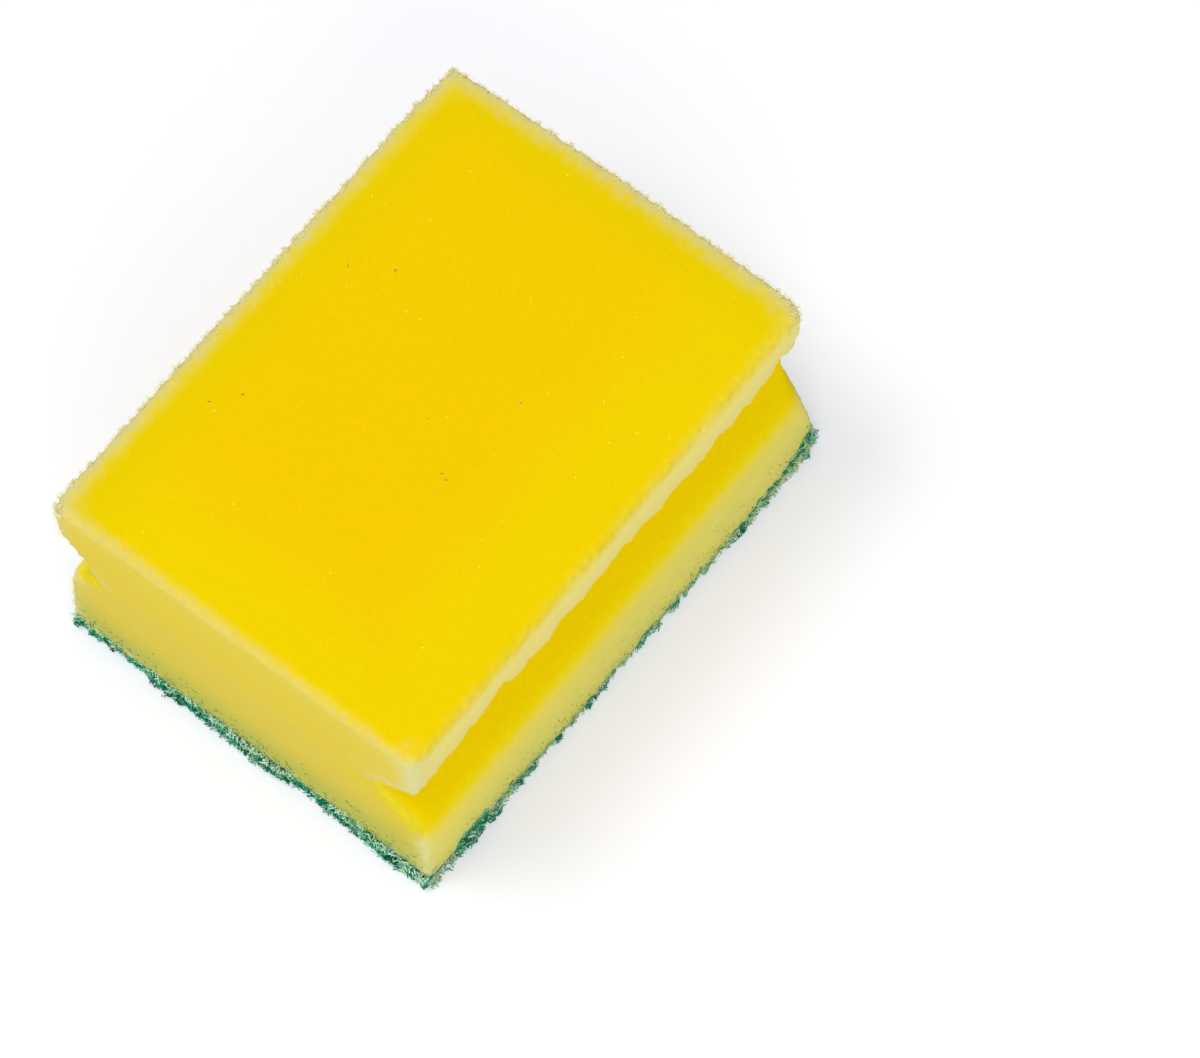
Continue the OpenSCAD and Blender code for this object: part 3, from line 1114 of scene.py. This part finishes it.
foamFinish = {
    "top": (236, 196, 0),
    # painted light and shade on the top: paler towards the front and left edges, darker towards the
    # back and right edges, as the light falls off
    "topPaintedLight": (233, 203, 0),  # towards the front and left edges
    "nearY": (-8, -27),  # places between which it sets in
    "nearX": (-24, -43),
    "topPaintedShade": (223, 198, 0),  # towards the back and right edges
    "farY": (20, 36),
    "farX": (34, 48),
    # painted sheen along the back and right top edges
    "farRimSheen": (207, 201, 138),
    # pale upright corners: partly painted highlight
    "corner": (221, 215, 147),
    # painted shade: a duller yellow round the ends of the grooves, where the lip shades them
    "mouth": (224, 206, 36),  # round the ends of the grooves
    "haze": (160, 194, 138),  # on the foot, from the fibres
    # up the sawn ends, and up the wire-cut sides: height, colour. The upright faces are painted
    # paler than the top as painted sheen, and turn darker and greener towards the pad
    "ends": [(3, (170, 192, 122)), (5.5, (192, 199, 114)), (7, (190, 190, 93)),
             (9, (196, 191, 86)), (12, (211, 196, 80)), (16, (219, 199, 80)),
             (22, (223, 200, 80)), (30, (227, 202, 70)), (36, (227, 205, 74)),
             (39.5, (227, 206, 78)), (41.8, (224, 205, 98)), (42.5, (216, 200, 105))],
    "sides": [(1.5, (178, 192, 124)), (3, (192, 197, 120)), (4.5, (209, 206, 116)),
              (7, (224, 215, 110)), (10, (228, 216, 104)), (13, (234, 217, 92)),
              (14.4, (237, 217, 74)), (15.6, (239, 216, 54)), (16.6, (240, 215, 30)),
              (17.5, (239, 213, 8)), (18.2, (239, 211, 0)), (25.4, (240, 211, 0)),
              (32.8, (239, 209, 0)), (33.2, (231, 214, 117)), (36, (233, 219, 130)),
              (40, (237, 223, 130)), (41.5, (238, 222, 113)), (42.1, (232, 215, 90)),
              (42.5, (225, 208, 76))],
    # how ragged the borders between them are
    "raggedMouth": 0.1,
    "raggedCorner": 0.12,
    "raggedHaze": 0.15,
    "raggedFar": 0.14,
    "raggedTop": 0.13,
    "raggedBands": 0.9,  # mm up and down
    "dust": (86, 140, 74),
    "speck": (70, 110, 44),
    # painted glints on the cell walls
    "glint": (255, 238, 120),
    "dustLow": 2.5,
    "dustHigh": 9.5,
    "dustShare": 0.1,
    "speckShare": 0.5,
    "glintShare": 0.7,
    "glintSize": 0.06,
    "cellsPerMm": 1.9,
    # painted shade: each open cell darker at its bottom than at its rim
    "cellShade": (0.985, 1.008),  # from the bottom of a cell to its rim
    "cellTone": (0.992, 1.006),  # from one cell to the next
    "relief": 0.2,
    "reliefDepth": 0.08,
    "roughness": 0.95,
    "shine": 0.03,
}


def addHeightBands(tree, height, bands):
    node = addNode(tree, "ShaderNodeValToRGB", {0: addMath(tree, "DIVIDE", height, foamHigh.z)})
    stops = node.color_ramp.elements
    for number, (level, colour) in enumerate(bands):
        stop = stops[number] if number < 2 else stops.new(level / foamHigh.z)
        stop.position = level / foamHigh.z
        stop.color = linear(*colour)
    return node.outputs[0]


def makeFoamMaterial():
    finish = foamFinish
    material, tree, shader = startMaterial("yellowFoam")
    vector = placeInMm(tree)
    spot = addNode(tree, "ShaderNodeSeparateXYZ", {0: vector})
    height = spot.outputs["Z"]
    layout = {name: addNode(tree, "ShaderNodeAttribute", attribute_name=name).outputs["Fac"]
              for name in ("sideFade", "farSheenFade", "level", "sideways", "cornerPaleHighlight", "mouthGoldShade",
                           "footHaze")}
    ragged = addNoise(tree, vector, 0.9, 4.0)
    blotch = addNoise(tree, vector, 0.28)
    uneven = addMath(tree, "ADD", addRange(tree, ragged, 0.3, 0.7, -1, 1, smooth=False),
                     addRange(tree, blotch, 0.3, 0.7, -1, 1, smooth=False))

    def roughen(value, amount):
        # moves a border to and fro, and leaves the plain areas on both sides of it alone
        loose = addMath(tree, "MULTIPLY", value, addMath(tree, "SUBTRACT", 1.0, value))
        shift = addMath(tree, "MULTIPLY", addMath(tree, "MULTIPLY", loose, uneven), 4 * amount)
        return addRange(tree, addMath(tree, "ADD", value, shift), 0.0, 1.0)

    def spread(name, under, colour, border):
        return addMix(tree, roughen(layout[name], finish[border]), under, colour)

    # upright faces by their level
    wander = finish["raggedBands"]
    level = addMath(tree, "ADD", layout["level"],
                    addRange(tree, ragged, 0.25, 0.75, -wander, wander, smooth=False))
    # upright faces painted paler than the top: partly painted sheen
    upright = addMix(tree, layout["sideways"], addHeightBands(tree, level, finish["ends"]),
                     addHeightBands(tree, level, finish["sides"]))
    # duller yellow at the groove mouths: partly painted shade
    upright = spread("mouthGoldShade", upright, linear(*finish["mouth"]), "raggedMouth")
    # pale upright corners: partly painted highlight
    upright = spread("cornerPaleHighlight", upright, linear(*finish["corner"]), "raggedCorner")
    upright = spread("footHaze", upright, linear(*finish["haze"]), "raggedHaze")

    # the top, painted paler towards the lamps' side and painted darker away from it: painted light
    # and shade
    near = addMath(tree, "MAXIMUM", addRange(tree, spot.outputs["Y"], *finish["nearY"]),
                   addRange(tree, spot.outputs["X"], *finish["nearX"]))
    far = addMath(tree, "MAXIMUM", addRange(tree, spot.outputs["Y"], *finish["farY"]),
                  addRange(tree, spot.outputs["X"], *finish["farX"]))
    top = addMix(tree, near, linear(*finish["top"]), linear(*finish["topPaintedLight"]))
    top = addMix(tree, far, top, linear(*finish["topPaintedShade"]))
    # the back and right top edges painted paler as painted sheen
    side = spread("farSheenFade", upright, linear(*finish["farRimSheen"]), "raggedFar")
    colour = spread("sideFade", top, side, "raggedTop")

    dust = addGroup(tree, fibreDust, {"Vector": vector, "Height": height,
                                      "Low": finish["dustLow"], "High": finish["dustHigh"]})
    colour = addMix(tree, addMath(tree, "MULTIPLY", dust["Tint"], finish["dustShare"]), colour,
                    linear(*finish["dust"]))
    colour = addMix(tree, addMath(tree, "MULTIPLY", dust["Specks"], finish["speckShare"]), colour,
                    linear(*finish["speck"]))

    cell = addGroup(tree, openCells, {"Vector": vector, "Cells Per Mm": finish["cellsPerMm"],
                                      "Glint Size": finish["glintSize"]})
    # painted shade in the bottoms of the cells
    shade = addRange(tree, cell["Height"], 0.0, 1.0, *finish["cellShade"], smooth=False)
    tone = addRange(tree, cell["Tone"], 0.0, 1.0, *finish["cellTone"], smooth=False)
    grey = addMath(tree, "MULTIPLY", shade, tone)
    colour = addMix(tree, 1.0, colour, addNode(
        tree, "ShaderNodeCombineColor", {0: grey, 1: grey, 2: grey}).outputs[0], "MULTIPLY")
    # painted glints
    colour = addMix(tree, addMath(tree, "MULTIPLY", cell["Glint"], finish["glintShare"]),
                    colour, linear(*finish["glint"]))
    setFinish(tree, shader, colour, finish["roughness"], finish["shine"])
    addBump(tree, shader, cell["Height"], finish["relief"], finish["reliefDepth"])
    return material


cellFinish = {
    # rim colours lifted near to white, partly painted light shining through the thin struts
    "deep": (248, 242, 186),
    "pale": (254, 251, 218),
    "dustLow": 3.0,
    "dustHigh": 12.0,
    "dustShare": 0.35,
    "roughness": 0.6,
    "shine": 0.3,
    "alpha": 0.4,  # the thin struts let light through
}


def makeCellMaterial():
    material, tree, shader = startMaterial("foamCellRims")
    vector = placeInMm(tree)
    spot = addNode(tree, "ShaderNodeSeparateXYZ", {0: vector})
    fine = addNoise(tree, vector, 1.6)
    colour = addMix(tree, addRange(tree, fine, 0.35, 0.65), linear(*cellFinish["deep"]),
                    linear(*cellFinish["pale"]))
    dust = addGroup(tree, fibreDust, {"Vector": vector, "Height": spot.outputs["Z"],
                                      "Low": cellFinish["dustLow"], "High": cellFinish["dustHigh"]})
    colour = addMix(tree, addMath(tree, "MULTIPLY", dust["Tint"], cellFinish["dustShare"]), colour,
                    linear(*foamFinish["dust"]))
    setFinish(tree, shader, colour, cellFinish["roughness"], cellFinish["shine"])
    shader.inputs["Alpha"].default_value = cellFinish["alpha"]
    return material


# Scouring fibre finishes, from the deep ones to the pale cut ends, the deep ones partly painted
# shade and the pale ones partly painted light shining through

fibreTones = [
    ("fibreDeep", (6, 98, 66), (14, 134, 92)),
    ("fibreGreen", (26, 148, 104), (50, 178, 130)),
    ("fibreLight", (88, 180, 144), (138, 208, 178)),
    ("fibrePale", (176, 226, 196), (214, 242, 222)),
    ("fibreStraw", (170, 200, 122), (204, 222, 152)),
    ("fibreOlive", (98, 122, 42), (140, 152, 58)),
]

fibreFinish = {
    "relief": 0.3,
    "reliefDepth": 0.03,
    "roughness": 0.7,
    "shine": 0.15,
}


def makeFibreMaterial(name, deep, bright):
    material, tree, shader = startMaterial(name)
    vector = placeInMm(tree)
    shade = addGroup(tree, fibreShade, {"Vector": vector, "Deep": linear(*deep),
                                        "Bright": linear(*bright)})
    setFinish(tree, shader, shade["Color"], fibreFinish["roughness"], fibreFinish["shine"])
    addBump(tree, shader, shade["Bump"], fibreFinish["relief"], fibreFinish["reliefDepth"])
    return material


matFinish = {
    "deep": (22, 112, 78),
    "bright": (60, 160, 118),
    "streak": (84, 178, 136),
    "relief": 0.8,
    "reliefDepth": 0.4,
    "roughness": 0.8,
    "shine": 0.2,
}


def makeMatMaterial():
    material, tree, shader = startMaterial("matCore")
    vector = placeInMm(tree)
    shade = addGroup(tree, fibreShade, {"Vector": vector, "Deep": linear(*matFinish["deep"]),
                                        "Bright": linear(*matFinish["bright"])})
    streak = addNoise(tree, vector, 1.4, 4.0, Distortion=2.2)
    colour = addMix(tree, addRange(tree, streak, 0.5, 0.7), shade["Color"],
                    linear(*matFinish["streak"]))
    setFinish(tree, shader, colour, matFinish["roughness"], matFinish["shine"])
    addBump(tree, shader, streak, matFinish["relief"], matFinish["reliefDepth"])
    return material


foamBlock.data.materials.append(makeFoamMaterial())
foamCells.data.materials.append(makeCellMaterial())
padMat = makeMat()
padMat.data.materials.append(makeMatMaterial())
fibreMaterials = [makeFibreMaterial(*tone) for tone in fibreTones]
print("finishes made")


# Fibres laid along the mat's four edges and under it

def makeEdgeFibres(side):
    corner, along, out, length = padSides[side]
    rng = random.Random(fibres["seed"] + len(side) + int(length))
    strands = []
    for number in range(fibres["sideCount"][side]):
        stub = number % 20 < fibres["stubs"]
        path = cutStub(rng, side, length) if stub else edgeStrand(rng, side, length)
        middle = path[len(path) // 2]
        tone = toneAt(rng, side, middle[0], middle[2])
        points = [corner + along * a + out * o + Vector((0, 0, h)) for a, o, h in path]
        strands.append((points, tone, rng.uniform(*fibres["thickness"])))
    return makeStrands("padFibres" + side.title(), strands, fibreMaterials)


def makeUnderFibres():
    rng = random.Random(fibres["seed"])
    strands = [(underStrand(rng), pickTone(rng, fibres["underTones"]),
                rng.uniform(*fibres["underThickness"])) for number in range(fibres["underCount"])]
    return makeStrands("padFibresUnder", strands, fibreMaterials)


edgeBundles = [makeEdgeFibres(side) for side in padSides]
underBundle = makeUnderFibres()
print("fibres laid:", [len(bundle.data.polygons) for bundle in edgeBundles + [underBundle]])


# Green lint on the foam's top, bits of fibre at its foot, and one loose fibre at a corner

lint = {
    # where it lies on the top, and the points of the loose fibre
    "top": [(15, 19.3), (10.6, 25.5), (-1.4, -0.5), (-7.5, -7.6), (-8.0, -8.9), (-22.7, 1.1),
            (9.2, -10), (-15.6, 24), (-19.8, 27.7)],
    "loose": [(-47.3, 34.9, 0.7), (-47.6, 35.8, 0.95), (-47.5, 36.5, 0.8)],
    "footCount": 3000,
    "footLow": 0.8,
    "footHigh": 12,
    "endFade": 1.6,  # how fast the bits thin out upwards at the -X end
    "sideFade": 0.8,
    "halfLength": (0.08, 0.3),
    # fibre tones by number and thicknesses, of the bits near the pad and of those above them
    "lowBits": ((0, 0, 1, 2, 3, 4, 4, 5), (0.5, 0.9)),
    "highBits": ((1, 5, 5, 5, 5), (0.4, 0.8)),
    "lowReach": 0.9,  # how far up from the foam's foot the low ones go
    "seed": 9,
}


def makeLint():
    rng = random.Random(lint["seed"])
    strands = []
    for x, y in lint["top"]:
        heading = rng.uniform(0, 6.28)
        path = []
        for step in range(4):
            path.append((x, y, foamHigh.z + 0.05 + 0.05 * (step % 2)))
            heading += rng.gauss(0, 0.7)
            x += math.cos(heading) * 0.2
            y += math.sin(heading) * 0.2
        strands.append((path, rng.choice((0, 1)), 0.6))

    strands.append((lint["loose"], 3, 0.6))

    # bits of scouring fibre caught in the foam above the pad
    points = readPoints(foamBlock)
    normals = readNormals(foamBlock)
    x, y, z = points.T
    upright = (np.abs(normals[:, 2]) < 0.7) & (z > lint["footLow"]) & (z < lint["footHigh"])
    foot = np.interp(x, foam["footPlaces"], foam["footHeights"])
    foot = np.where(y < frontFace(x) + 1, foot, foam["otherFoot"])
    above = z - foot
    fade = np.where(x < foamLow.x + 1, lint["endFade"], lint["sideFade"])
    wish = np.where(upright & (above > -1), np.exp(-np.maximum(above, 0) / fade), 0)
    picks = np.random.default_rng(lint["seed"]).choice(len(points), lint["footCount"],
                                                       p=wish / wish.sum())
    for index in picks:
        normal = Vector(normals[index])
        spot = Vector(points[index]) + normal * 0.04
        way = Vector([rng.gauss(0, 1) for axis in range(3)]).cross(normal).normalized()
        side = way.cross(normal)
        reach = rng.uniform(*lint["halfLength"])
        path = [spot - way * reach, spot + side * rng.gauss(0, 0.06), spot + way * reach]
        tones, thickness = lint["lowBits" if above[index] < lint["lowReach"] else "highBits"]
        tone = rng.choice(tones)
        strands.append((path, tone, rng.uniform(*thickness)))
    return makeStrands("lint", strands, fibreMaterials)


lintBits = makeLint()
print("lint laid:", len(lintBits.data.polygons), "faces")


# What each piece stands for

for piece in (foamBlock, foamCells):
    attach(piece, "root")
    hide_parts("foam_body")
for piece in (padMat, *edgeBundles, underBundle):
    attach(piece, "root")
    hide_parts("scouring_pad")
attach(lintBits, "root")

print("pieces in place")
